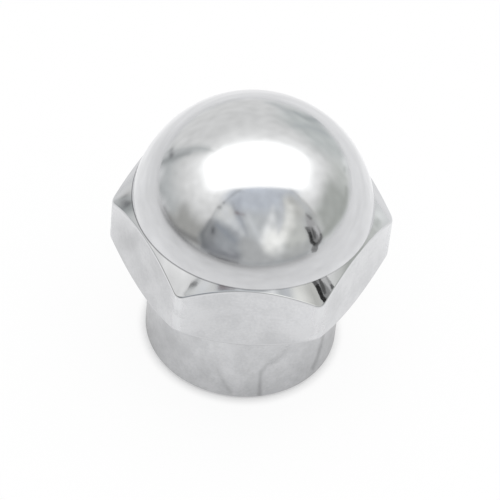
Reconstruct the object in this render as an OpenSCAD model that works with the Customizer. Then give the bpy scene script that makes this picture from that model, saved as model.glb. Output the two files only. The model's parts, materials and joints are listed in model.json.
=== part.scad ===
// Domed axle nut: hexagon bar, turned to a dome above the flats and to a round collar below them,
// then drilled and tapped from the seat face as a blind hole.
// Millimetres, +Z up along the axis of the nut, origin at the centre of the seat face.

/* [Hexagon] */
// Distance across the flats
across_flats = 19; // [17:0.5:24]
// Height from the underside of the hexagon to the foot of the dome
hex_height = 6.7; // [5:0.1:12]
// How far the six upright corners are turned back from sharp
corner_break = 0.14; // [0.04:0.02:0.6]
// Slope of the turned shoulder above the corners, from level
shoulder_angle = 43; // [30:1:50]
// Slope of the turned chamfer below the corners, from level
under_angle = 39; // [30:1:50]
// How far the level underside stays inside the flats
under_inset = 0.5; // [0.2:0.1:0.8]

/* [Dome] */
// How far the foot of the dome stays inside the flats
dome_inset = 0.15; // [0.05:0.05:0.5]
// Height of the dome above its foot
dome_rise = 7.8; // [6:0.1:8.4]

/* [Collar] */
// Diameter of the round collar
collar_d = 15.2; // [14.6:0.1:16]
// Height of the collar, from the seat face to the underside of the hexagon
collar_height = 8.4; // [5:0.1:14]
// Width and height of the chamfer round the seat face
seat_chamfer = 0.3; // [0.1:0.1:0.6]
// Radius of the fillet between the collar and the underside of the hexagon
root_fillet = 0.4; // [0.2:0.1:0.6]

/* [Tapped hole] */
// Outer diameter of the thread
thread_d = 12; // [8:1:12]
// Pitch of the thread
thread_pitch = 1.25; // [1:0.25:1.75]
// Depth of the straight wall of the hole, from the seat face
hole_depth = 15; // [10:0.5:16]
// Full angle of the cone that the drill leaves at the end of the hole
drill_angle = 118; // [90:1:140]
// How much wider than the thread the countersink is at the mouth of the hole
mouth_margin = 0.6; // [0.2:0.1:1]
// Full angle of the countersink
mouth_angle = 90; // [60:1:120]

/* [Hidden] */
$fn = 144;
sides = 6;
// How far a cutting shape runs past what it cuts
overrun = 1;
// Radial depth of an internal thread, as a share of its pitch
thread_depth_share = 0.5413;

half_flats = across_flats / 2;
sharp_corner_r = half_flats / cos(180 / sides);
corner_r = sharp_corner_r - corner_break;

foot_r = half_flats - dome_inset;
foot_z = collar_height + hex_height;
overall_height = foot_z + dome_rise;
dome_r = (foot_r * foot_r + dome_rise * dome_rise) / (2 * dome_rise);
dome_centre_z = overall_height - dome_r;

under_r = half_flats - under_inset;
collar_r = collar_d / 2;
corner_top_z = foot_z - (corner_r - foot_r) * tan(shoulder_angle);
corner_low_z = collar_height + (corner_r - under_r) * tan(under_angle);

hole_r = thread_d / 2 - thread_depth_share * thread_pitch;
mouth_r = (thread_d + mouth_margin) / 2;
mouth_depth = (mouth_r - hole_r) / tan(mouth_angle / 2);
drill_tip_z = hole_depth + hole_r / tan(drill_angle / 2);

// Half section of the shoulder, the corners, the chamfer under them and the collar
module body_section() {
    polygon([
        [0, 0],
        [collar_r - seat_chamfer, 0],
        [collar_r, seat_chamfer],
        [collar_r, collar_height],
        [under_r, collar_height],
        [corner_r, corner_low_z],
        [corner_r, corner_top_z],
        [foot_r, foot_z],
        [0, foot_z]
    ]);
}

// Half section of the dome: a quarter disc that rises through the shoulder at the dome's foot
module dome_section() {
    translate([0, dome_centre_z])
        intersection() {
            circle(r = dome_r);
            square(dome_r + overrun);
        }
}

// Half section of the fillet in the corner between the collar and the underside
module root_section() {
    difference() {
        translate([collar_r, collar_height - root_fillet])
            square(root_fillet);
        translate([collar_r + root_fillet, collar_height - root_fillet])
            circle(r = root_fillet);
    }
}

// Half section of the hole: countersink, straight wall and drilled end
module hole_section() {
    polygon([
        [0, -overrun],
        [mouth_r + overrun * tan(mouth_angle / 2), -overrun],
        [hole_r, mouth_depth],
        [hole_r, hole_depth],
        [0, drill_tip_z]
    ]);
}

// The whole nut, one piece of plated steel: the turned form, where it lies inside the hexagon bar, less the hole
module axle_nut() {
    color("gainsboro")
        difference() {
            intersection() {
                union() {
                    rotate_extrude() body_section();
                    rotate_extrude() dome_section();
                    rotate_extrude() root_section();
                }
                cylinder(h = overall_height + overrun, r = sharp_corner_r, $fn = sides);
            }
            rotate_extrude() hole_section();
        }
}

axle_nut();
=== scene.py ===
"""Domed axle nut in chrome plate, on a pale floor inside a soft light tent."""

import json
import math

import bpy
import numpy as np
from bpy.props import FloatProperty, FloatVectorProperty, IntProperty, PointerProperty
from mathutils import Matrix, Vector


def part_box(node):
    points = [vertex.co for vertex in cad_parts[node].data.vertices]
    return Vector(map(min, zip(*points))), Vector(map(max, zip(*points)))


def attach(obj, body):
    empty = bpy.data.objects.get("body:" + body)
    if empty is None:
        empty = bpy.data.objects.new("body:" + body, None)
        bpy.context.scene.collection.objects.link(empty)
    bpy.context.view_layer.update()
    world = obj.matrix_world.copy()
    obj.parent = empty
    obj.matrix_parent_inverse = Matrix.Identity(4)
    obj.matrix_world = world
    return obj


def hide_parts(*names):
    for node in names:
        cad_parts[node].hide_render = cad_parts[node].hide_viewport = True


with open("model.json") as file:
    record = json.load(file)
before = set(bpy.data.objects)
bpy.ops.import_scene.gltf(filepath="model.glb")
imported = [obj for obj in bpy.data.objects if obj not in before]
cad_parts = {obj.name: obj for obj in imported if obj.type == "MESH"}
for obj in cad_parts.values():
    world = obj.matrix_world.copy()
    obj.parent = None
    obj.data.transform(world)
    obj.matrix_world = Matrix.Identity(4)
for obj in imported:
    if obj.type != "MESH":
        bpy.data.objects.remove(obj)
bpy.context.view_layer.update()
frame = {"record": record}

bl_info = {
    "name": "Axle nut",
    "version": (1, 0, 0),
    "blender": (4, 5, 0),
    "location": "View3D > Sidebar > Axle nut",
    "description": "Builds a domed axle nut in chrome plate and the light tent that it stands in",
    "category": "Mesh",
}

CAD_NODE = "axle_nut"
LOW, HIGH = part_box(CAD_NODE)
THREAD_MOUNT = next(m for m in frame["record"]["mounts"] if m["name"] == "thread")
MM = 0.001
SIDES = 6
HALF_SIDE = math.pi / SIDES


def labelled(group):
    """Labels each property of a group with its own name, in words."""
    for key, made in group.__annotations__.items():
        made.keywords["name"] = key.replace("_", " ").capitalize()
    return group


def kind(maker, **settings):
    """A short way to ask for one kind of property, by its description and its default."""
    return lambda description, default: maker(description=description, default=default, **settings)


def angle(description, degrees):
    """An angle, given in degrees and kept in radians."""
    return FloatProperty(description=description, default=math.radians(degrees), subtype="ANGLE")


length = kind(FloatProperty, unit="LENGTH", precision=6)
share = kind(FloatProperty, subtype="FACTOR", min=0.0)
colour = kind(FloatVectorProperty, subtype="COLOR", size=3)
whole = kind(IntProperty)


@labelled
class NutSizes(bpy.types.PropertyGroup):
    """Sizes of the nut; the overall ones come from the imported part."""

    across_flats: length("Distance between opposite flats", HIGH.y - LOW.y)
    across_corners: length("Distance between opposite corners", HIGH.x - LOW.x)
    overall_height: length("From the seat face to the top of the dome", HIGH.z - LOW.z)
    hex_height: length("From the underside to the foot of the dome", 6.7 * MM)
    collar_height: length("From the seat face to the hexagon", 8.4 * MM)
    collar_radius: length("Radius of the round collar", 7.6 * MM)
    dome_inset: length("How far the dome's foot stays inside the flats", 0.15 * MM)
    under_inset: length("How far the underside stays inside the flats", 0.5 * MM)
    shoulder_angle: angle("Slope of the shoulder above the corners", 43)
    shoulder_crown: length("Radius of the shoulder's crown", 26 * MM)
    under_angle: angle("Slope of the chamfer below the corners", 39)
    seat_chamfer: length("Chamfer round the seat face", 0.3 * MM)
    root_fillet: length("Fillet between the collar and the underside", 0.4 * MM)
    edge_round: length("Rounding of the flats' edges", 0.35 * MM)
    fine_round: length("Rounding of the turned edges", 0.1 * MM)
    crest_radius: length("Radius at the thread's crests", THREAD_MOUNT["dims"]["r_mm"] * MM)
    thread_pitch: length("Distance from one thread to the next", 1.25 * MM)
    thread_depth: length("Radial depth of the thread", 0.6766 * MM)
    thread_runout: length("Plain wall left past the last thread", 1.6 * MM)
    hole_depth: length("Depth of the hole's straight wall", 15 * MM)
    mouth_radius: length("Radius of the countersink at the seat face", 6.3 * MM)
    mouth_angle: angle("Full angle of the countersink", 90)
    drill_angle: angle("Full angle of the cone at the hole's end", 118)


@labelled
class NutMesh(bpy.types.PropertyGroup):
    """How finely the nut's surface is divided."""

    flat_columns: whole("Columns across one flat", 24)
    corner_columns: whole("Columns round one corner", 12)
    dome_rings: whole("Rings from the dome's top to its foot", 80)
    straight_rings: whole("Rings along a straight stretch", 10)
    round_rings: whole("Rings round an edge", 9)
    turn_rings: whole("Rings to one turn of the thread", 14)


@labelled
class NutFinish(bpy.types.PropertyGroup):
    """Colours and finish of the plating, with the colour of a painted shade at the dome's foot."""

    plate_colour: colour("Reflected colour of the chrome plate", (0.675, 0.68, 0.69))
    bright_colour: colour("Colour of the brightest satin", (0.71, 0.714, 0.724))
    dull_colour: colour("Colour of the dullest satin", (0.62, 0.625, 0.635))
    worn_colour: colour("Colour of worn edges", (0.70, 0.705, 0.715))
    scuff_colour: colour("Colour of scuffed corners", (0.76, 0.765, 0.775))
    # Painted shade: the dark colour laid into the crease at the dome's foot
    crease_shade_colour: colour("Colour of the dome's crease", (0.22, 0.22, 0.23))
    steel_colour: colour("Colour of the bare thread", (0.30, 0.29, 0.28))
    dome_roughness: share("Roughness of the polished dome", 0.1)
    shoulder_roughness: share("Roughness of the shoulder", 0.06)
    flat_roughness: share("Roughness of the flats", 0.13)
    collar_roughness: share("Roughness of the collar", 0.13)
    seat_roughness: share("Roughness of the turned seat face", 0.3)
    thread_roughness: share("Roughness of the bare thread", 0.38)
    wave_height: length("Height of the slow polishing waves", 0.010 * MM)
    wave_length: length("Distance between those waves", 5 * MM)
    mark_height: length("Height of the turning marks", 0.0006 * MM)
    mark_pitch: length("Distance between the turning marks", 0.12 * MM)
    grain_height: length("Height of the fine grain", 0.0008 * MM)


@labelled
class Studio(bpy.types.PropertyGroup):
    """Floor, light tent, lamp and camera."""

    white: colour("Colour of the floor and the surround to the eye", (1.0, 1.0, 1.0))
    floor_colour: colour("Colour of the lit floor", (0.93, 0.93, 0.935))
    floor_radius: length("Radius of the floor", 0.6)
    floor_gap: length("How far the floor lies below the seat face", 0.01 * MM)
    floor_glow: share("Share of plain white in the floor to the eye", 0.92)
    metal_glow: share("Share of plain white in the floor to metal", 0.5)
    contact_glow: share("That share right beside the collar", 0.3)
    contact_start: length("Where it starts to grow, from the axis", 7.3 * MM)
    contact_end: length("Where the floor is plain again", 8.4 * MM)
    tent_radius: length("Radius of the light tent", 0.5)
    strip_radius: length("Distance of the dark strips from the axis", 18 * MM)
    tent_centre: length("Height of the tent's centre, inside the dome", 13 * MM)
    lamp_size: length("Side of the square lamp", 1.0)
    lamp_place: FloatVectorProperty(description="Lamp's place", default=(0.06, 0.05, 0.6), subtype="XYZ")
    lamp_power: FloatProperty(description="Power of the lamp", default=4.4, unit="POWER")
    fill: share("Strength of the even light from all round", 0.35)
    lens: FloatProperty(description="Focal length in millimetres", default=234.0)
    distance: length("From the camera to its aim", 0.2536)
    azimuth: angle("Turn of the camera round the nut", -3.19)
    elevation: angle("Height of the camera above the horizon", 48.04)
    roll: angle("Tilt of the camera about its own axis", 6.15)
    aim_height: length("Height of the camera's aim", 9.12 * MM)
    aim_side: length("How far its aim lies to its right", 0.131 * MM)


GROUPS = {"nut_sizes": NutSizes, "nut_mesh": NutMesh, "nut_finish": NutFinish, "nut_studio": Studio}
# What the camera sees starts and ends at these shares of its distance
CLIP_NEAR, CLIP_FAR = 0.05, 20


# Zones of the skin, from the dome to the thread, and the zone of each stretch and edge below the dome
ZONES = ("dome", "shoulder", "flat", "collar", "seat", "thread")
DOME, SHOULDER, FLAT, COLLAR, SEAT, THREAD = range(len(ZONES))
BODY_ZONES = (SHOULDER,) * 2 + (FLAT,) * 3 + (COLLAR,) * 5 + (SEAT,) * 3
# Which of those are the shoulder and the flats, and which are edges that handling polishes
SHOULDER_STRETCH = 0
FLAT_STRETCH = 2
WORN_EDGES = (1, 3, 5, 9, 11)
# Share of turning marks and of bare steel in each zone
MARK_SHARES = (0, 0, 0, 0.4, 1, 0)
STEEL_SHARES = (0, 0, 0, 0, 0, 1)
# Share of a sharp corner's reach at which scuffing starts
CORNER_START = 0.93
# Share of the shorter stretch beside an edge that its rounding may take up
ROUND_LIMIT = 0.45
# Width of the thread's crest and of its root, in shares of the pitch
CREST_FLAT = 1 / 4
ROOT_FLAT = 1 / 8


def spread(count, edge=0.06):
    """Places from 0 to 1: even steps, and one more close to each end, which keeps the shading of edges."""
    inner = np.linspace(0.0, 1.0, count + 1)[1:-1]
    return np.concatenate([[0.0, edge / count], inner, [1.0 - edge / count, 1.0]])


def corner_rounding(sizes):
    """Radius of the upright corners' rounding, from how far the corner stays short of a sharp one."""
    half_flats = sizes.across_flats / 2
    lost = half_flats / math.cos(HALF_SIDE) - sizes.across_corners / 2
    return lost / (1 / math.cos(HALF_SIDE) - 1)


def flat_half_angle(sizes):
    """Angle from a flat's middle to where its corners' rounding starts."""
    half_flats = sizes.across_flats / 2
    return math.atan((half_flats - corner_rounding(sizes)) * math.tan(HALF_SIDE) / half_flats)


def column_angles(sizes, mesh):
    """Angles of the columns round the axis.

    Each of the six sectors has a flat, up to where its corners' rounding starts, then one rounded corner.
    """
    tangent = flat_half_angle(sizes)
    flat = tangent * (2 * spread(mesh.flat_columns) - 1)
    corner = tangent + 2 * (HALF_SIDE - tangent) * np.linspace(0, 1, mesh.corner_columns + 1)[1:-1]
    sector = np.concatenate([flat, corner])
    middles = HALF_SIDE + 2 * HALF_SIDE * np.arange(SIDES)
    return (middles[:, None] + sector[None, :]).ravel()


def hexagon_reach(angles, sizes):
    """Distance from the axis to the rounded hexagon at each angle.

    On a flat it is the flat's distance over the cosine of the angle from the flat's middle. Past the tangent
    point it is the far crossing of the ray with the corner's circle: the circle's distance times the cosine
    of the angle from the corner, plus the root of the radius squared less the square of the sideways part.
    """
    half_flats = sizes.across_flats / 2
    rounding = corner_rounding(sizes)
    from_corner = np.abs((angles + HALF_SIDE) % (2 * HALF_SIDE) - HALF_SIDE)
    from_flat = HALF_SIDE - from_corner
    centre = (half_flats - rounding) / math.cos(HALF_SIDE)
    sideways = np.minimum(centre * np.sin(from_corner), rounding)
    corner = centre * np.cos(from_corner) + np.sqrt(rounding**2 - sideways**2)
    return np.where(from_flat <= flat_half_angle(sizes), half_flats / np.cos(from_flat), corner)


def rounded_path(points, radii, columns, mesh):
    """A path of straight stretches in the half plane of radius and height, with each inner corner rounded.

    Each point is a radius and a height, one number or one for each column. The arc starts short of a corner
    by the rounding times the tangent of half the turn, within the limit. It runs along the first direction
    by its radius times the sine, and across it by its radius times one less the cosine. Returns the rings
    (rings, columns, 2) and the number of the stretch or corner that each belongs to.
    """
    path = np.stack([np.stack([np.broadcast_to(part, columns) for part in point], -1) for point in points])
    steps = np.diff(path, axis=0)
    lengths = np.linalg.norm(steps, axis=-1)
    directions = steps / lengths[..., None]
    rings, labels = [], []
    start = path[0]
    for i, radius in enumerate(radii):
        first, second = directions[i], directions[i + 1]
        cross = first[..., 0] * second[..., 1] - first[..., 1] * second[..., 0]
        turn = np.arctan2(np.abs(cross), (first * second).sum(-1))
        reach = np.minimum(radius * np.tan(turn / 2), ROUND_LIMIT * np.minimum(lengths[i], lengths[i + 1]))
        arc_radius = reach / np.tan(turn / 2)
        across = np.stack([-first[..., 1], first[..., 0]], -1) * np.sign(cross)[..., None]
        arc_start = path[i + 1] - first * reach[..., None]
        along = spread(mesh.straight_rings)[:-1, None, None]
        rings.append(start + (arc_start - start) * along)
        labels += [2 * i] * len(along)
        swept = np.linspace(0, 1, mesh.round_rings + 1)[:-1, None] * turn
        sine, rise = np.sin(swept)[..., None], 1 - np.cos(swept)[..., None]
        rings.append(arc_start + arc_radius[:, None] * (sine * first + rise * across))
        labels += [2 * i + 1] * len(swept)
        start = path[i + 1] + second * reach[..., None]
    along = spread(mesh.straight_rings)[:, None, None]
    rings.append(start + (path[-1] - start) * along)
    labels += [2 * len(radii)] * len(along)
    return np.concatenate(rings), np.array(labels)


def crown(stretch, radius):
    """A straight stretch of rings, bent outwards to a slight arc of this radius.

    Each point moves at right angles to the stretch by its distance from the one end times its distance from
    the other, over twice the radius.
    """
    along = stretch[-1] - stretch[0]
    outward = np.stack([-along[..., 1], along[..., 0]], -1) / np.linalg.norm(along, axis=-1)[..., None]
    from_first = np.linalg.norm(stretch - stretch[0], axis=-1)
    from_last = np.linalg.norm(stretch - stretch[-1], axis=-1)
    return stretch + (from_first * from_last / (2 * radius))[..., None] * outward


def thread_groove(angles, heights, sizes):
    """Radial depth of the thread at each angle and height.

    The place in the turn is the height over the pitch less the angle over a full turn. A flank rises evenly
    from the crest to the root, and the last turn fades into the wall.
    """
    place = (heights / sizes.thread_pitch - angles / (2 * math.pi)) % 1.0
    from_root = np.abs(place - 0.5)
    flank_start, flank_end = (1 - CREST_FLAT) / 2, ROOT_FLAT / 2
    flank = np.clip((flank_start - from_root) / (flank_start - flank_end), 0.0, 1.0)
    fade = np.clip((sizes.hole_depth - sizes.thread_runout - heights) / sizes.thread_pitch, 0.0, 1.0)
    return sizes.thread_depth * flank * fade


def nut_surface(sizes, mesh):
    """The whole skin of the nut as rings of points, with the finish of each ring.

    Radius and height follow a section from the dome's top down the outside, across the seat face and up the
    hole. The flats' edges lie where the shoulder and the chamfer under the corners meet the hexagon's reach.
    Returns points (rings, columns, 3), the two poles, the zone of each ring, and for each point whether its
    edge is worn and how far it is scuffed, which fades from the upright corners.
    """
    angles = column_angles(sizes, mesh)
    columns = len(angles)
    reach = hexagon_reach(angles, sizes)
    half_flats = sizes.across_flats / 2
    foot_r = half_flats - sizes.dome_inset
    foot_z = sizes.collar_height + sizes.hex_height
    dome_rise = sizes.overall_height - foot_z
    dome_r = (foot_r**2 + dome_rise**2) / (2 * dome_rise)
    dome_z = sizes.overall_height - dome_r

    # Dome: equal steps of the angle from the top, closer at the foot
    polar = math.atan2(foot_r, foot_z - dome_z) * spread(mesh.dome_rings)[1:-1]
    dome = np.stack([dome_r * np.sin(polar), dome_z + dome_r * np.cos(polar)], -1)
    dome = np.broadcast_to(dome[:, None, :], (len(polar), columns, 2))

    # Outside below the dome, down to the edge of the hole's mouth
    shoulder_z = foot_z - (reach - foot_r) * math.tan(sizes.shoulder_angle)
    under_r = half_flats - sizes.under_inset
    under_z = sizes.collar_height + (reach - under_r) * math.tan(sizes.under_angle)
    points = [
        (foot_r, foot_z),
        (reach, shoulder_z),
        (reach, under_z),
        (under_r, sizes.collar_height),
        (sizes.collar_radius, sizes.collar_height),
        (sizes.collar_radius, sizes.seat_chamfer),
        (sizes.collar_radius - sizes.seat_chamfer, 0.0),
        (sizes.mouth_radius, 0.0),
    ]
    edge, fine = sizes.edge_round, sizes.fine_round
    body, labels = rounded_path(points, [edge, edge, fine, sizes.root_fillet, fine, fine], columns, mesh)
    shoulder = labels == SHOULDER_STRETCH
    body[shoulder] = crown(body[shoulder], sizes.shoulder_crown)

    # Hole: countersink or thread, whichever is wider, then the drilled cone
    turns = sizes.hole_depth / sizes.thread_pitch
    heights = np.linspace(0, sizes.hole_depth, int(turns * mesh.turn_rings) + 1)[1:]
    cone = sizes.mouth_radius - heights * math.tan(sizes.mouth_angle / 2)
    groove = thread_groove(angles[None, :], heights[:, None], sizes)
    wall = np.maximum(cone[:, None], sizes.crest_radius + groove)
    bore = np.stack([wall, np.broadcast_to(heights[:, None], wall.shape)], -1)
    tip_z = sizes.hole_depth + sizes.crest_radius / math.tan(sizes.drill_angle / 2)
    along = spread(mesh.straight_rings)[1:-1]
    drilled_z = sizes.hole_depth + (tip_z - sizes.hole_depth) * along
    drilled = np.stack([sizes.crest_radius * (1 - along), drilled_z], -1)
    drilled = np.broadcast_to(drilled[:, None, :], (len(along), columns, 2))

    section = np.concatenate([dome, body, bore, drilled])
    body_zones = np.array(BODY_ZONES)[labels]
    zones = np.concatenate([[DOME] * len(dome), body_zones, [THREAD] * (len(bore) + len(drilled))])
    corner = np.clip((reach / half_flats * math.cos(HALF_SIDE) - CORNER_START) / (1 - CORNER_START), 0, 1)
    worn, scuffed = np.zeros((2, *section.shape[:2]))
    on_body = slice(len(dome), len(dome) + len(body))
    worn[on_body] = np.isin(labels, WORN_EDGES)[:, None]
    scuffed[on_body] = (labels == FLAT_STRETCH)[:, None] * corner
    r, z = section[..., 0], section[..., 1]
    points = np.stack([r * np.cos(angles), r * np.sin(angles), z], -1)
    poles = np.array([[0, 0, sizes.overall_height], [0, 0, tip_z]])
    return points, poles, zones, worn, scuffed


def ring_quads(rings, columns):
    """Indices of rings of points, those one column on, and the quads between the rings."""
    index = np.arange(rings * columns).reshape(rings, columns)
    beside = np.roll(index, -1, axis=1)
    return index, beside, np.stack([index[:-1], index[1:], beside[1:], beside[:-1]], -1).reshape(-1, 4)


def closed_grid(points, poles):
    """Vertices and faces of rings closed round the axis: quads between rings, triangles to the two poles."""
    rings, columns = points.shape[:2]
    index, beside, quads = ring_quads(rings, columns)
    top, tip = rings * columns, rings * columns + 1
    top_fan = np.stack([np.full(columns, top), index[0], beside[0]], -1)
    tip_fan = np.stack([index[-1], np.full(columns, tip), beside[-1]], -1)
    vertices = np.concatenate([points.reshape(-1, 3), poles])
    return vertices, [*quads.tolist(), *top_fan.tolist(), *tip_fan.tolist()]


def new_piece(name, vertices, faces, material):
    """A smooth-shaded mesh object at the origin, linked to the scene."""
    mesh = bpy.data.meshes.new(name)
    mesh.from_pydata(vertices.tolist(), [], faces)
    mesh.polygons.foreach_set("use_smooth", np.ones(len(mesh.polygons), bool))
    mesh.materials.append(material)
    if mesh.validate():
        raise RuntimeError(f"the mesh of {name} has faces that Blender had to repair")
    mesh.update()
    piece = bpy.data.objects.new(name, mesh)
    bpy.context.scene.collection.objects.link(piece)
    return piece


def set_attribute(piece, name, values):
    """A number for each vertex, which the material reads."""
    attribute = piece.data.attributes.new(name, "FLOAT", "POINT")
    attribute.data.foreach_set("value", np.asarray(values, np.float32))


def set_tones(piece, tones):
    """A colour for each vertex, which the material reads."""
    attribute = piece.data.attributes.new(TONE_LAYER, "FLOAT_COLOR", "POINT")
    colours = np.pad(tones, ((0, 0), (0, 1)), constant_values=1)
    attribute.data.foreach_set("color", colours.astype(np.float32).ravel())


class Shade:
    """A node's output that takes part in Python sums: each operation adds one Math node."""

    def __init__(self, tree, socket):
        self.tree = tree
        self.socket = socket

    @classmethod
    def node(cls, tree, node_type, settings=None, inputs=None, output=0):
        """A new node with these settings and inputs, each a value or a link; gives the named output."""
        made = tree.nodes.new(node_type)
        for key, value in (settings or {}).items():
            setattr(made, key, value)
        for key, value in (inputs or {}).items():
            if isinstance(value, Shade):
                tree.links.new(value.socket, made.inputs[key])
            else:
                made.inputs[key].default_value = value
        return cls(tree, made.outputs[output]) if made.outputs else made

    def math(self, operation, *values):
        """A Math node on these values."""
        return Shade.node(self.tree, "ShaderNodeMath", {"operation": operation}, dict(enumerate(values)))

    def __add__(self, other):
        return self.math("ADD", self, other)

    def __radd__(self, other):
        return self.math("ADD", other, self)

    def __sub__(self, other):
        return self.math("SUBTRACT", self, other)

    def __rsub__(self, other):
        return self.math("SUBTRACT", other, self)

    def __mul__(self, other):
        return self.math("MULTIPLY", self, other)

    def __rmul__(self, other):
        return self.math("MULTIPLY", other, self)

    def __pow__(self, other):
        return self.math("POWER", self, other)

    def __rpow__(self, other):
        return self.math("POWER", other, self)

    def smooth(self, low, high):
        """0 below low, 1 above high, and an S curve between."""
        inputs = {"Value": self, "From Min": low, "From Max": high}
        return Shade.node(self.tree, "ShaderNodeMapRange", {"interpolation_type": "SMOOTHSTEP"}, inputs)

    def blend(self, first, second):
        """The first number where this is 0, the second where it is 1."""
        return first + self * (second - first)

    def mix_colour(self, first, second):
        """The first colour where this is 0, the second where it is 1."""
        inputs = {"Factor": self, 6: rgba(first), 7: rgba(second)}
        return Shade.node(self.tree, "ShaderNodeMix", {"data_type": "RGBA"}, inputs, 2)


def rgba(value):
    """A colour as a Mix node takes it: a link as it is, three numbers with full alpha."""
    return value if isinstance(value, Shade) else (*value, 1.0)


def new_tree(owner):
    """The empty node tree of a material or world."""
    owner.use_nodes = True
    owner.node_tree.nodes.clear()
    return owner.node_tree


def object_place(tree):
    """The object coordinates as a vector, and their three parts."""
    place = Shade.node(tree, "ShaderNodeTexCoord", output="Object")
    parts = Shade.node(tree, "ShaderNodeSeparateXYZ", inputs={"Vector": place}).socket.node.outputs
    return place, [Shade(tree, part) for part in parts]


# Layers that the meshes carry for their materials
FINISH_LAYERS = ("softness", "turning_marks", "bare_steel", "worn_edge", "scuffed_corner")
TONE_LAYER = "tone"
# Painted shade in the crease at the dome's foot: the distances that it fades over, its strength,
# and its lean to the left
CREASE_SHADE_FADE = (0.01 * MM, 0.1 * MM)
CREASE_SHADE_STRENGTH = 0.5
CREASE_SHADE_LEAN = 0.45
# Noise in the plating
WAVE_NOISE = {"Detail": 1.0, "Roughness": 0.4}
PATCH_NOISE = {"Scale": 360.0, "Detail": 1.0}
CLOUD_NOISE = {"Scale": 1100.0, "Detail": 3.0}
GRAIN_NOISE = {"Scale": 4200.0, "Detail": 2.0}
# Shares of patches, clouds and grain in the satin's dullness
DULL_SHARES = (0.4, 0.3, 0.3)
# Limits of the noise between bright and dull, and between untouched and worn or scuffed
DULL_LIMITS = (0.36, 0.64)
WORN_LIMITS = (0.36, 0.6)
SCUFF_LIMITS = (0.3, 0.6)
# Roughness of a zone: its least share, what clouds add, what wear takes away and what scuffing adds
LEAST_ROUGH, CLOUD_ROUGH, WORN_SMOOTH, SCUFF_ROUGH = 0.7, 0.6, 0.45, 1.6


def mesh_layer(tree, name, output):
    """What a layer of the mesh holds at each place."""
    return Shade.node(tree, "ShaderNodeAttribute", {"attribute_name": name}, output=output)


def plate_material(sizes, finish):
    """Chrome plate: bright dome, satin flats and collar, painted shade at the dome's foot, bare thread."""
    material = bpy.data.materials.new("chrome_plate")
    tree = new_tree(material)
    place, (x, y, z) = object_place(tree)
    radius = (x * x + y * y) ** 0.5
    soft, marks, bare, edge, scuff = (mesh_layer(tree, name, "Fac") for name in FINISH_LAYERS)

    foot_r = sizes.across_flats / 2 - sizes.dome_inset
    foot_z = sizes.collar_height + sizes.hex_height
    from_foot = ((radius - foot_r) ** 2.0 + (z - foot_z) ** 2.0) ** 0.5
    # Painted shade: darkens the crease at the dome's foot, more strongly to the left
    crease_shade = (1.0 - from_foot.smooth(*CREASE_SHADE_FADE)) * (CREASE_SHADE_STRENGTH - x * (CREASE_SHADE_LEAN / foot_r))

    wave_noise = {"Scale": 1 / finish.wave_length, **WAVE_NOISE}
    wave, patch, cloud, grain = (
        Shade.node(tree, "ShaderNodeTexNoise", inputs={"Vector": place, **noise})
        for noise in (wave_noise, PATCH_NOISE, CLOUD_NOISE, GRAIN_NOISE)
    )
    worn = edge * (0.5 * cloud + 0.5 * patch).smooth(*WORN_LIMITS)
    clouded = soft * (LEAST_ROUGH + CLOUD_ROUGH * cloud)
    rough = clouded * (1.0 - WORN_SMOOTH * worn) * (1.0 + SCUFF_ROUGH * scuff)

    # The plate takes the painted shade's colour in the crease
    plate = crease_shade.mix_colour(finish.plate_colour, finish.crease_shade_colour)
    patch_share, cloud_share, grain_share = DULL_SHARES
    dullness = (patch_share * patch + cloud_share * cloud + grain_share * grain).smooth(*DULL_LIMITS)
    satin = dullness.mix_colour(finish.bright_colour, finish.dull_colour)
    hazed = soft.smooth(finish.dome_roughness, finish.flat_roughness).mix_colour(plate, satin)
    polished = worn.mix_colour(hazed, finish.worn_colour)
    scuffed = (scuff * cloud.smooth(*SCUFF_LIMITS)).mix_colour(polished, finish.scuff_colour)
    base = bare.mix_colour(scuffed, finish.steel_colour)

    turns = (radius + z) * (2 * math.pi / finish.mark_pitch)
    ring = turns.math("SINE", turns) * (finish.mark_height / MM) * marks
    height = wave * (finish.wave_height / MM) + grain * (finish.grain_height / MM) + ring
    bump = Shade.node(tree, "ShaderNodeBump", inputs={"Strength": 1.0, "Distance": MM, "Height": height})

    inputs = {"Base Color": base, "Metallic": 1.0, "Roughness": rough, "Normal": bump}
    surface = Shade.node(tree, "ShaderNodeBsdfPrincipled", inputs=inputs)
    Shade.node(tree, "ShaderNodeOutputMaterial", inputs={"Surface": surface})
    return material


def ray_kinds(tree):
    """For each ray, 1 or 0: does it come from the eye, from metal, or through glass."""
    path = Shade.node(tree, "ShaderNodeLightPath").socket.node.outputs
    return [Shade(tree, path[name]) for name in ("Is Camera Ray", "Is Glossy Ray", "Is Transmission Ray")]


def floor_material(studio):
    """Pale floor: mostly plain white to the eye, lit elsewhere, so that it keeps the nut's shadow."""
    material = bpy.data.materials.new("pale_floor")
    tree = new_tree(material)
    eye, metal, glass = ray_kinds(tree)
    # The floor's tones that only the metal shows: cloth folds, with painted light and shade
    cloth_and_painted_light = mesh_layer(tree, TONE_LAYER, "Color")
    lit_colour = metal.mix_colour(studio.white, cloth_and_painted_light)
    lit = Shade.node(tree, "ShaderNodeBsdfDiffuse", inputs={"Color": lit_colour})
    glow = Shade.node(tree, "ShaderNodeEmission", inputs={"Color": lit_colour, "Strength": 1.0})
    _, (x, y, _) = object_place(tree)
    beside = ((x * x + y * y) ** 0.5).smooth(studio.contact_start, studio.contact_end)
    factor = (eye + glass) * beside.blend(studio.contact_glow, studio.floor_glow) + metal * studio.metal_glow
    above = Shade.node(tree, "ShaderNodeMixShader", inputs={0: factor, 1: lit, 2: glow})
    clear = Shade.node(tree, "ShaderNodeBsdfTransparent")
    back = Shade.node(tree, "ShaderNodeNewGeometry", output="Backfacing")
    surface = Shade.node(tree, "ShaderNodeMixShader", inputs={0: back, 1: above, 2: clear})
    Shade.node(tree, "ShaderNodeOutputMaterial", inputs={"Surface": surface})
    return material
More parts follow.
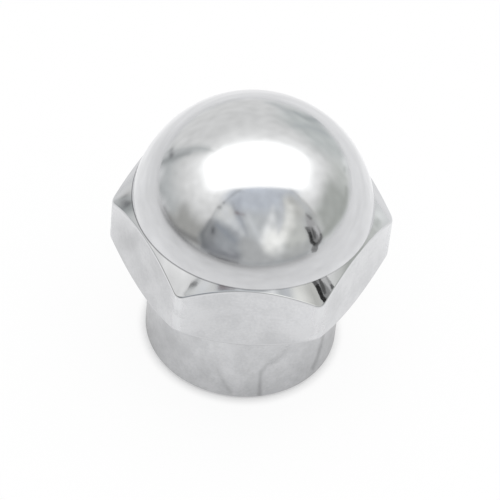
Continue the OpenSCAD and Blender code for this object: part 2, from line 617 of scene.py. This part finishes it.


# Cards in the tent, painted reflections that only the metal shows: azimuth from the camera, elevation,
# half width, half height, corner rounding and softness, all in degrees, then brightness in per cent
TENT_CARDS = {
    "left_wall": (-95, 6, 28, 9, 8, 12, (62, 64, 64)),
    "left_fold": (-119, 18, 3, 26, 3, 6, (58, 60, 60)),
    "left_screen": (-58, 6, 18, 14, 8, 7, (48, 48, 46)),
    "right_wall": (112, 10, 18, 10, 8, 12, (70, 72, 69)),
    "right_folds": (150, 12, 20, 20, 10, 10, (70, 73, 72)),
    "right_screen": (90, 13, 19, 15, 6, 9, (51, 53, 50)),
    "front_board": (14, 38, 55, 52, 10, 2.5, (66, 68, 69)),
    "front_blue": (14, 64, 60, 14, 4, 9, (68, 72, 79)),
    "front_blue_top": (14, 76, 60, 8, 4, 5, (82, 88, 100)),
    "front_low": (6, 12, 22, 14, 10, 8, (56, 57, 57)),
    "left_pale": (-30, 40, 9, 6, 4, 5, (92, 92, 90)),
    "low_block": (-25, 15, 18, 15, 9, 5, (45, 47, 49)),
    "low_block_left": (-37, 15, 6, 13, 6, 5, (34, 35, 36)),
    "low_block_foot": (-24, 3, 17, 6, 5, 5, (28, 29, 31)),
    "front_right": (45, 20, 12, 14, 8, 6, (70, 71, 68)),
    "front_right_pale": (55, 43, 9, 12, 6, 6, (68, 68, 65)),
    "front_right_low": (42, 5, 14, 5, 4, 5, (56, 57, 56)),
    "post_ground": (64, 18, 5, 13, 5, 5, (54, 55, 53)),
    "post_foot": (62, 7, 4, 7, 4, 5, 46),
}
# Lines and folds painted on the tent, further painted reflections: softness, brightness, then azimuth,
# elevation and half width of each point
TENT_LINES = {
    "left_seam": (4, (38, 40, 40), ((-121, -2, 2.5), (-119, 9, 2.5), (-116, 26, 1))),
    "left_seam_foot": (2.5, (6, 6, 7), ((-127, 5, 1.2), (-122, 8, 1.2))),
    "left_arc": (1.5, (58, 60, 60), ((-127, 1, 1), (-121, 25, 0.8), (-119, 50, 0.5))),
    "left_spot": (5, (48, 50, 50), ((-104, -1, 3), (-97, 2, 2))),
    "left_screen_foot": (3.5, (47, 47, 45), ((-78, 0, 3), (-60, 2, 4), (-45, 6, 4))),
    "left_hem": (3, 24, ((-88, -2, 1), (-70, -1, 1.5), (-55, 2, 2), (-44, 5, 2))),
    "board_left_edge": (
        2,
        (40, 41, 41),
        ((-30, 66, 1), (-38, 56, 0.8), (-41, 47, 0.1), (-42, 36, 0.1), (-42, 28, 1.2), (-43, 8, 3)),
    ),
    "edge_knot": (1.4, 6, ((-41, 46.5, 0.6), (-39.5, 46.5, 0.6))),
    "edge_knot_2": (1.4, 6, ((-42, 41, 0.8), (-39, 41.5, 0.6))),
    "board_dark_spot": (2.4, (8, 8, 9), ((-37, 21, 1.2), (-36, 18, 1.4))),
    "board_low_spots": (3, (22, 23, 24), ((-43, 26, 1), (-44, 12, 2), (-38, 5, 2))),
    "block_top_shade": (3.5, (35, 38, 42), ((-35, 26, 1), (-24, 24, 2), (-11, 19, 1))),
    "block_light": (3, (50, 51, 53), ((-21, 10, 0.6), (-14, 8, 1))),
    "board_right_edge": (1.5, (50, 50, 48), ((69, 58, 0.8), (70, 40, 0.8), (71, 24, 0.8))),
    "left_fold_shade": (5, (53, 56, 61), ((-24, 55, 3), (-17, 43, 3), (-10, 33, 2))),
    "left_wedge": (5, (84, 86, 88), ((-33, 41, 3), (-17, 33, 3), (-8, 27, 1.5))),
    "fold_line": (2.5, (44, 46, 49), ((-30, 51, 1.2), (-18, 44, 1.8), (-11, 38, 1.4), (-2, 26, 0.6))),
    "fold_knot": (1.5, (28, 22, 22), ((-21, 44.5, 0.9), (-9, 45, 0.4))),
    "left_fold_light": (5, (82, 84, 86), ((-6, 46, 1.5), (4, 33, 2), (12, 22, 2))),
    "tongue_left": (5, (104, 105, 105), ((16, 26, 5), (24, 40, 3.5), (29, 51, 0.5))),
    "tongue_right": (5, (108, 108, 104), ((33, 24, 6), (43, 36, 4.5), (52, 46, 2))),
    "pale_tongue": (6, (124, 124, 120), ((20, 17, 5), (23, 20, 10), (24, 25, 7))),
    "right_fold_line": (3.5, (74, 76, 80), ((42, 50, 1.5), (35, 39, 1.5), (29, 28, 0.5))),
    "right_light": (5, (92, 92, 88), ((50, 50, 2), (48, 40, 2.5), (43, 30, 3))),
    "front_hem": (2, (44, 46, 47), ((-10, 0, 0.8), (4, 0, 0.6), (28, 2, 1), (52, 1, 0.6))),
    "low_block_hem": (2, (8, 8, 9), ((-32, 1, 0.8), (-20, -1, 1.4), (-9, -1.5, 1))),
    "back_stroke": (5, (60, 63, 64), ((177, 7, 1.5), (168, 15, 2), (166, 18, 1))),
    "back_dark_stroke": (4, (46, 49, 50), ((165, 10, 1.5), (160, 10, 2), (158, -2, 2))),
    "right_stroke": (5, (56, 59, 60), ((157, 29, 1), (152, 14, 2), (150, 8, 3))),
    "right_screen_foot": (2.5, (50, 52, 49), ((66, 6.5, 2.5), (78, 6, 3), (100, 4.5, 3), (112, 5, 2))),
    "right_foot_light": (4, (98, 100, 99), ((134, 1, 2), (124, 6, 2))),
    "right_foot_shade": (2, (52, 55, 52), ((128, 4, 0.4), (124, 6.5, 0.9))),
}
# Strips that stand close to the nut, mostly dark, painted reflections that only the metal shows: brightness,
# then azimuth from the camera in degrees, and height and half width in millimetres, of each point
NEAR_STRIPS = {
    "left": (3, ((48.6, 22, 0.45), (48.3, 20.6, 0.55), (47.8, 19.6, 0.52), (49.8, 18.4, 0.42))),
    "left_top": (14, ((47.2, 23.6, 0.25), (48.6, 22, 0.5))),
    "middle": (12, ((52.4, 22.6, 0.2), (51.8, 20.6, 0.36), (51, 19.6, 0.2))),
    "right": (14, ((56.5, 20.1, 0.25), (56.2, 19.2, 0.4), (53.2, 18.5, 0.4), (49.8, 18.2, 0.34))),
    "right_top": (44, ((56.6, 22.4, 0.12), (56.5, 20, 0.28))),
    "foot": (28, ((50, 18.3, 0.7), (48.2, 17.5, 0.9), (47.6, 16.9, 0.6))),
    "top": (30, ((46.6, 23.6, 0.2), (49.4, 23.1, 0.36), (52.2, 22.7, 0.2))),
    "high": (24, ((53.6, 27.4, 0.1), (55.4, 24.6, 0.36))),
    "ground": (33, ((50.6, 23, 0.5), (50.8, 21, 0.95), (51.2, 19.6, 1), (50.5, 18.4, 0.4))),
    "hatch": (50, ((53.6, 27.4, 0.1), (52.8, 25, 0.9), (52.8, 22.6, 1.2))),
    "pale": (64, ((53.6, 22.8, 0.9), (54.2, 19.4, 0.7))),
}
# How far each strip stands behind the one before it
STRIP_STEP = 0.02 * MM
# Painted lines of shade and light on the floor, which only the metal shows: softness, how much darker
# or paler they are, then the x, y and half width of each point, in millimetres
FLOOR_LINES = {
    "long_shadow_line": (0.22, -0.34, ((8.6, -9, 0.16), (4, -10.2, 0.16), (2.8, -9.8, 0.14), (1.8, -7.6, 0.14))),
    "long_light_line": (0.3, 0.08, ((7.4, -8.7, 0.15), (4, -9.6, 0.2), (2.2, -9.3, 0.2))),
    "left_shadow_line": (0.22, -0.24, ((-3, -9.8, 0.06), (-1.8, -9.1, 0.14), (-0.7, -8.2, 0.14))),
    "right_shadow_line": (0.25, -0.38, ((9.8, -2.3, 0.16), (8.3, -3.5, 0.18), (6.8, -4.7, 0.14))),
    "short_shadow_line": (0.22, -0.16, ((0.2, -10.2, 0.1), (1.4, -10.6, 0.06))),
    "left_flat_shade": (3.5, -0.09, ((-22, -2, 2), (-19, 5, 2))),
    "left_flat_dark_line": (0.6, -0.22, ((-18.5, 3.1, 0.3), (-20.2, 4.4, 0.3))),
    "left_flat_dark_line_2": (0.5, -0.3, ((-18.6, 2.2, 0.3), (-19.5, 2.8, 0.2))),
    "right_flat_pale": (3, 0.04, ((14, -2.5, 1), (16.5, 0.5, 1))),
    "right_flat_shade": (2, -0.05, ((19, 4.5, 1), (21, 6, 1.5))),
    "left_far_hem": (70, -0.5, ((-225, -17, 20), (-263, -92, 50), (-321, -179, 80))),
    "front_far_hem": (60, -0.35, ((-150, -215, 10), (-115, -225, 20), (-45, -236, 20), (7, -245, 5))),
    "left_pale": (2, 0.07, ((-5, -19, 1), (-3, -18, 1))),
    "right_pale": (2, 0.06, ((5, -18, 1), (4, -20, 1))),
}
# Floor's mesh: radius of its first ring and of its part with even rings, its columns, and its rings
FLOOR_MIDDLE = 3 * MM
FLOOR_FINE = 14 * MM
FLOOR_COLUMNS = 420
EVEN_RINGS, GROWING_RINGS = 90, 110
# Tent's mesh: angle of its first ring from the top, its columns and its rings
TENT_TOP = 0.01
TENT_COLUMNS = 540
TENT_RINGS = 170
# Sine waves in a set of uneven waves, and the range of their closeness
MOTTLE_WAVES = 48
MOTTLE_RANGE = (0.7, 1.4)
# Floor's tone for the metal by distance from the axis in millimetres: painted contact shadow near the nut
FLOOR_STEPS = (7.4, 8.2, 9.5, 11.5, 16, 18.5, 22, 30, 50, 600)
FLOOR_SHADES = (0.74, 0.87, 0.96, 1.03, 0.96, 0.99, 1.12, 1.06, 1.0, 0.97)
# Painted light and shade on the floor, which only the metal shows
# Changes of that tone: share, azimuth in degrees and spread in radians, distance and softness in millimetres
BACK_PALE = (0.07, 60)
CORNER_PALE = (0.04, 62, 0.5, 14, 3)
FAR_DARK = (0.06, 40)
SIDE_DARK = (0.12, 11, 2)
FAR_FRONT = (190, 120)
# Folds in the cloth, broad and fine: size in shares of the distance from the axis, and strength
FLOOR_FOLDS = ((0.5, 0.025), (0.16, 0.015))
# The ceiling is the tent's brightest glow, a painted highlight in the metal in place of the hidden lamp
# Ceiling: its middle, half length and half width in shares of its height, its turn in degrees, the power
# that squares its corners, its brightness from the middle outwards, its tint, and its edge's softness
CEILING_MIDDLE = (0.0, 0.085)
CEILING_HALF = (1.08, 0.435)
CEILING_TURN = 9
CEILING_SQUARE = 5.0
CEILING_STEPS = (0.9, 1.0, 1.15, 1.6, 2.3)
CEILING_TONES = (162, 136, 114, 97, 87)
CEILING_TINT = (1.0, 1.0, 0.99)
CEILING_EDGE = 0.035
# Least height of a direction to the ceiling
LEAST_RISE = 0.02
# Sweep of the floor into the walls: its middle elevation, half its height, and its brightness
SWEEP_MIDDLE = 1.5
SWEEP_HALF = 4.5
SWEEP_TONE = (84, 85, 85.5)
# Shade on the sweep and the far floor in front: middle, half width and softness in degrees, and depth
FRONT_SHADE = (-14, 72, 12)
FRONT_DEPTH = 0.32
# Sizes, in radians, of the waves that bend the tent's picture sideways and upwards, and that mottle it
TENT_WAVES = (0.5, 0.5, 0.07, 0.16)
# How far they bend its azimuth, its elevation and its sweep, in degrees
BEND_AZIMUTH, BEND_ELEVATION, BEND_SWEEP = 0.6, 0.5, 0.3
# How much of a line they leave and how far that varies, and how far they mottle the tent
LINE_WHOLE, LINE_VARIES = 0.94, 0.12
MOTTLE_FINE, MOTTLE_BROAD = 0.008, 0.03


def soft_step(distance, softness):
    """1 from the softness inside an edge, 0 from the softness outside it, and an S curve between."""
    step = np.clip((softness - distance) / (2 * softness), 0, 1)
    return step * step * (3 - 2 * step)


def card_cover(azimuth, elevation, card):
    """How far a soft card covers each direction.

    A direction's distance from a rectangle with rounded corners is the length of what lies past the straight
    part on each side, less the rounding.
    """
    middle, height, half_width, half_height, rounding, softness = card
    turn = (azimuth - middle + 180) % 360 - 180
    past_side = np.maximum(np.abs(turn) - half_width + rounding, 0)
    past_top = np.maximum(np.abs(elevation - height) - half_height + rounding, 0)
    return soft_step(np.hypot(past_side, past_top) - rounding, softness)


def line_cover(across, up, points, softness):
    """How far a soft line covers each place.

    The line runs straight from point to point, and each point gives its half width there. A place's distance
    is the least, over the stretches, of its way to the stretch's nearest point, less the half width there.
    """
    distance = np.full(across.shape, np.inf)
    for (x0, y0, first), (x1, y1, second) in zip(points, points[1:]):
        dx, dy = x1 - x0, y1 - y0
        run = np.clip(((across - x0) * dx + (up - y0) * dy) / (dx * dx + dy * dy), 0, 1)
        way = np.hypot(across - x0 - run * dx, up - y0 - run * dy)
        distance = np.minimum(distance, way - first - run * (second - first))
    return soft_step(distance, softness)


def mottle(places, size, seed):
    """Uneven waves of about one size: a sum of sine waves with drawn directions and starts."""
    draw = np.random.default_rng(seed)
    waves = draw.normal(size=(places.shape[1], MOTTLE_WAVES))
    waves *= 2 * math.pi / size * draw.uniform(*MOTTLE_RANGE, MOTTLE_WAVES) / np.linalg.norm(waves, axis=0)
    starts = draw.uniform(0, 2 * math.pi, MOTTLE_WAVES)
    return np.sin(places @ waves + starts).sum(1) / math.sqrt(MOTTLE_WAVES / 2)


def front_shade(azimuth):
    """Factor that darkens the sweep and the far floor in front, by the azimuth from the camera."""
    middle, half_width, softness = FRONT_SHADE
    return 1 - FRONT_DEPTH * soft_step(np.abs(azimuth - middle) - half_width, softness)


def tent_tones(points, studio):
    """Brightness of the tent at each point, by its direction from the nut: painted reflections for the
    metal.

    Uneven waves bend the cards and lines a little, break the lines up and mottle the whole. The ceiling's
    brightness goes by the root of the sum of powers of a direction's place along and across it, over the
    height, which makes a rectangle with round corners. Inside its edge it lies over the cards and lines.
    """
    toward = points - (0, 0, studio.tent_centre)
    toward = toward / np.linalg.norm(toward, axis=1)[:, None]
    x, y, z = toward.T
    sideways, upwards, fine, broad = (mottle(toward, size, seed) for seed, size in enumerate(TENT_WAVES))
    azimuth = (np.degrees(np.arctan2(x, -y) - studio.azimuth) + 180) % 360 - 180 + BEND_AZIMUTH * sideways
    elevation = np.degrees(np.arcsin(z)) + BEND_ELEVATION * upwards

    up = np.maximum(z, LEAST_RISE)
    turn = math.radians(CEILING_TURN) + studio.azimuth
    across, along = x / up - CEILING_MIDDLE[0], y / up - CEILING_MIDDLE[1]
    long_side = np.abs(across * math.cos(turn) + along * math.sin(turn)) / CEILING_HALF[0]
    short_side = np.abs(along * math.cos(turn) - across * math.sin(turn)) / CEILING_HALF[1]
    away = (long_side**CEILING_SQUARE + short_side**CEILING_SQUARE) ** (1 / CEILING_SQUARE)
    ceiling = np.interp(away, CEILING_STEPS, CEILING_TONES)[:, None] * np.array(CEILING_TINT)

    tones = ceiling
    for *card, tone in TENT_CARDS.values():
        tones = tones + card_cover(azimuth, elevation, card)[:, None] * (np.array(tone) - tones)
    sweep = soft_step(elevation + BEND_SWEEP * broad - SWEEP_MIDDLE, SWEEP_HALF)[:, None]
    tones = tones + sweep * (front_shade(azimuth)[:, None] * np.array(SWEEP_TONE) - tones)
    unbroken = np.clip(LINE_WHOLE + LINE_VARIES * broad, 0, 1)
    for softness, tone, line in TENT_LINES.values():
        cover = line_cover(azimuth, elevation, line, softness) * unbroken
        tones = tones + cover[:, None] * (np.array(tone) - tones)
    tones = tones * (1 + MOTTLE_FINE * fine + MOTTLE_BROAD * broad)[:, None]
    return (tones + soft_step(away - 1, CEILING_EDGE)[:, None] * (ceiling - tones)) / 100


def tent_material():
    """Light tent: glows with the brightness that each of its points carries, as painted reflections."""
    material = bpy.data.materials.new("light_tent")
    tree = new_tree(material)
    tone = mesh_layer(tree, TONE_LAYER, "Color")
    surface = Shade.node(tree, "ShaderNodeEmission", inputs={"Color": tone, "Strength": 1.0})
    Shade.node(tree, "ShaderNodeOutputMaterial", inputs={"Surface": surface})
    return material


def white_world(studio):
    """White to the eye and to metal, and an even fill for everything else."""
    world = bpy.data.worlds.new("surround")
    tree = new_tree(world)
    eye, metal, glass = ray_kinds(tree)
    seen = eye + metal + glass
    strength = seen.math("MINIMUM", seen, 1.0).blend(studio.fill, 1.0)
    inputs = {"Color": rgba(studio.white), "Strength": strength}
    surround = Shade.node(tree, "ShaderNodeBackground", inputs=inputs)
    Shade.node(tree, "ShaderNodeOutputWorld", inputs={"Surface": surround})
    bpy.context.scene.world = world


def wheel(radii, heights, columns):
    """Points in rings round the axis, by radius and height, the quads between them, and the first ring."""
    turn = np.linspace(0, 2 * math.pi, columns + 1)[:-1]
    around = radii[:, None]
    points = np.stack(np.broadcast_arrays(around * np.cos(turn), around * np.sin(turn), heights), -1)
    index, _, quads = ring_quads(*points.shape[:2])
    return points.reshape(-1, 3), quads, index[0].tolist()


def floor_disc(radius, height):
    """A level disc: even rings close to the nut, then rings that each lie a fixed share further out."""
    near = np.linspace(FLOOR_MIDDLE, FLOOR_FINE, EVEN_RINGS + 1)
    far = np.geomspace(FLOOR_FINE, radius, GROWING_RINGS + 1)[1:]
    points, quads, middle = wheel(np.concatenate([near, far]), height, FLOOR_COLUMNS)
    return points, [*quads.tolist(), middle]


def half_ball(radius, low):
    """A ball above a height, open below: even steps of the angle from the top, and faces turned inwards."""
    polar = np.linspace(TENT_TOP, math.acos(low / radius), TENT_RINGS + 1)
    points, quads, top = wheel(radius * np.sin(polar), radius * np.cos(polar)[:, None], TENT_COLUMNS)
    return points, [*quads[:, [0, 3, 2, 1]].tolist(), top]


def floor_tones(points, studio):
    """Tone of the floor at each point as the metal shows it: painted light and shade, and folds of cloth.

    It follows the distance from the axis, and is darkest close to the nut, a painted contact shadow. As
    painted light, it is paler to the back, by the hyperbolic tangent of the way back, and beside the front
    corners, by a bell curve of the azimuth. As painted shade, it is darker far to the left, by the log of
    the distance, close by at both sides, by the fourth power of the azimuth's sine, and far in front, as the
    sweep is. Soft folds grow with the distance, and painted lines of shade and light lie over them.
    """
    x, y = points.T[:2] / MM
    away = np.hypot(x, y)
    turn = np.arctan2(x, -y)
    place = np.stack([np.cos(turn), np.sin(turn), np.log(away)], -1)
    folds = enumerate(FLOOR_FOLDS, start=len(TENT_WAVES))
    folded = 1 + sum(strength * mottle(place, size, seed) for seed, (size, strength) in folds)
    tone = np.interp(away, FLOOR_STEPS, FLOOR_SHADES) * folded
    change, growth = BACK_PALE
    tone = tone * (1 + change * np.tanh(y / growth))
    change, azimuth, bell, first, softness = CORNER_PALE
    beside_corner = np.exp(-(((np.abs(turn) - math.radians(azimuth)) / bell) ** 2))
    tone = tone * (1 + change * beside_corner * soft_step(first - away, softness))
    change, first = FAR_DARK
    tone = tone * (1 - change * (1 - np.sin(turn)) * np.clip(np.log(away / first) / 2, 0, 1))
    change, last, softness = SIDE_DARK
    tone = tone * (1 - change * np.sin(turn) ** 4 * soft_step(away - last, softness))
    first, softness = FAR_FRONT
    shade = front_shade(np.degrees(turn - studio.azimuth))
    tone = tone * (1 + (shade - 1) * soft_step(first - away, softness))
    for softness, change, line in FLOOR_LINES.values():
        tone = tone * (1 + change * line_cover(x, y, line, softness))
    return tone[:, None] * np.array(studio.floor_colour)


def near_strips(radius, azimuth):
    """Narrow strips on an upright cylinder round the nut, which give dark painted reflections in the metal:
    vertices, faces and the brightness of each vertex.

    Each strip runs straight from point to point in azimuth and height, and reaches half its width to either
    side at right angles to its run there.
    """
    vertices, faces, tones = [], [], []
    for order, (tone, line) in enumerate(NEAR_STRIPS.values()):
        turn, height, half = np.array(line).T
        place = np.stack([np.radians(turn) * radius, height * MM], -1)
        along = np.gradient(place, axis=0)
        across = np.stack([-along[:, 1], along[:, 0]], -1) / np.linalg.norm(along, axis=1)[:, None]
        reach = (half * MM)[:, None] * across
        arc, height = np.stack([place - reach, place + reach], 1).reshape(-1, 2).T
        turn = arc / radius + azimuth
        away = radius + order * STRIP_STEP
        vertices.append(np.stack([away * np.sin(turn), -away * np.cos(turn), height], -1))
        first = 2 * np.arange(len(line) - 1) + len(tones)
        faces += np.stack([first, first + 1, first + 3, first + 2], -1).tolist()
        tones += [tone / 100] * (2 * len(line))
    return np.concatenate(vertices), faces, np.repeat(np.array(tones)[:, None], 3, axis=1)


class MESH_OT_plated_nut(bpy.types.Operator):
    """Builds the nut's skin, with its thread, and gives it its plating"""

    bl_idname = "mesh.plated_nut_add"
    bl_label = "Plated nut"

    def execute(self, context):
        scene = context.scene
        sizes, mesh, finish = scene.nut_sizes, scene.nut_mesh, scene.nut_finish
        points, poles, zones, worn, scuffed = nut_surface(sizes, mesh)
        vertices, faces = closed_grid(points, poles)
        nut = new_piece("plated_nut", vertices, faces, plate_material(sizes, finish))
        vertex_zones = [*np.repeat(zones, points.shape[1]), DOME, THREAD]
        roughness = [getattr(finish, f"{zone}_roughness") for zone in ZONES]
        by_zone = [np.array(values)[vertex_zones] for values in (roughness, MARK_SHARES, STEEL_SHARES)]
        by_point = [[*values.ravel(), 0, 0] for values in (worn, scuffed)]
        for name, values in zip(FINISH_LAYERS, by_zone + by_point):
            set_attribute(nut, name, values)
        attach(nut, "root")
        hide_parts(CAD_NODE)
        return {"FINISHED"}


class SCENE_OT_light_tent(bpy.types.Operator):
    """Lays the floor, puts up the light tent and the lamp, and places the camera"""

    bl_idname = "scene.light_tent_add"
    bl_label = "Light tent"

    def execute(self, context):
        scene = context.scene
        studio = scene.nut_studio
        scene.view_settings.view_transform = "Standard"
        white_world(studio)
        points, faces = floor_disc(studio.floor_radius, -studio.floor_gap)
        floor = new_piece("floor", points, faces, floor_material(studio))
        set_tones(floor, floor_tones(points, studio))
        points, faces = half_ball(studio.tent_radius, -studio.floor_gap)
        glow = tent_material()
        tent = new_piece("tent", points, faces, glow)
        set_tones(tent, tent_tones(points, studio))
        points, faces, tones = near_strips(studio.strip_radius, studio.azimuth)
        strips = new_piece("strips", points, faces, glow)
        set_tones(strips, tones)
        # The tent and the strips show only in the metal, as painted reflections
        for surround in (tent, strips):
            surround.visible_camera = surround.visible_diffuse = surround.visible_shadow = False
        lamp_data = bpy.data.lights.new("lamp", "AREA")
        lamp_data.size = studio.lamp_size
        lamp_data.energy = studio.lamp_power
        lamp = bpy.data.objects.new("lamp", lamp_data)
        lamp.location = studio.lamp_place
        lamp.visible_glossy = lamp.visible_camera = False
        scene.collection.objects.link(lamp)
        self.place_camera(scene, studio)
        return {"FINISHED"}

    @staticmethod
    def place_camera(scene, studio):
        """Puts the camera at its azimuth, elevation and roll, looking at the aim point."""
        data = bpy.data.cameras.new("camera")
        data.lens = studio.lens
        camera = bpy.data.objects.new("camera", data)
        turn = Matrix.Rotation(studio.azimuth, 4, "Z")
        aim = Matrix.Translation((studio.aim_side, 0, studio.aim_height))
        tilt = Matrix.Rotation(math.pi / 2 - studio.elevation, 4, "X")
        back = Matrix.Translation((0, 0, studio.distance))
        camera.matrix_world = turn @ aim @ tilt @ back @ Matrix.Rotation(studio.roll, 4, "Z")
        data.clip_start, data.clip_end = studio.distance * CLIP_NEAR, studio.distance * CLIP_FAR
        scene.collection.objects.link(camera)
        scene.camera = camera


class VIEW3D_PT_axle_nut(bpy.types.Panel):
    """Lists the pieces and their sizes"""

    bl_label = "Axle nut"
    bl_space_type = "VIEW_3D"
    bl_region_type = "UI"
    bl_category = "Axle nut"

    def draw(self, context):
        for operator in OPERATORS:
            self.layout.operator(operator.bl_idname)
        for name, group in GROUPS.items():
            for key in group.__annotations__:
                self.layout.prop(getattr(context.scene, name), key)


OPERATORS = (MESH_OT_plated_nut, SCENE_OT_light_tent)
CLASSES = (*GROUPS.values(), *OPERATORS, VIEW3D_PT_axle_nut)


def register():
    for cls in CLASSES:
        bpy.utils.register_class(cls)
    for name, group in GROUPS.items():
        setattr(bpy.types.Scene, name, PointerProperty(type=group))


def unregister():
    for name in GROUPS:
        delattr(bpy.types.Scene, name)
    for cls in reversed(CLASSES):
        bpy.utils.unregister_class(cls)


def main():
    register()
    bpy.ops.mesh.plated_nut_add()
    bpy.ops.scene.light_tent_add()


if __name__ == "__main__":
    main()
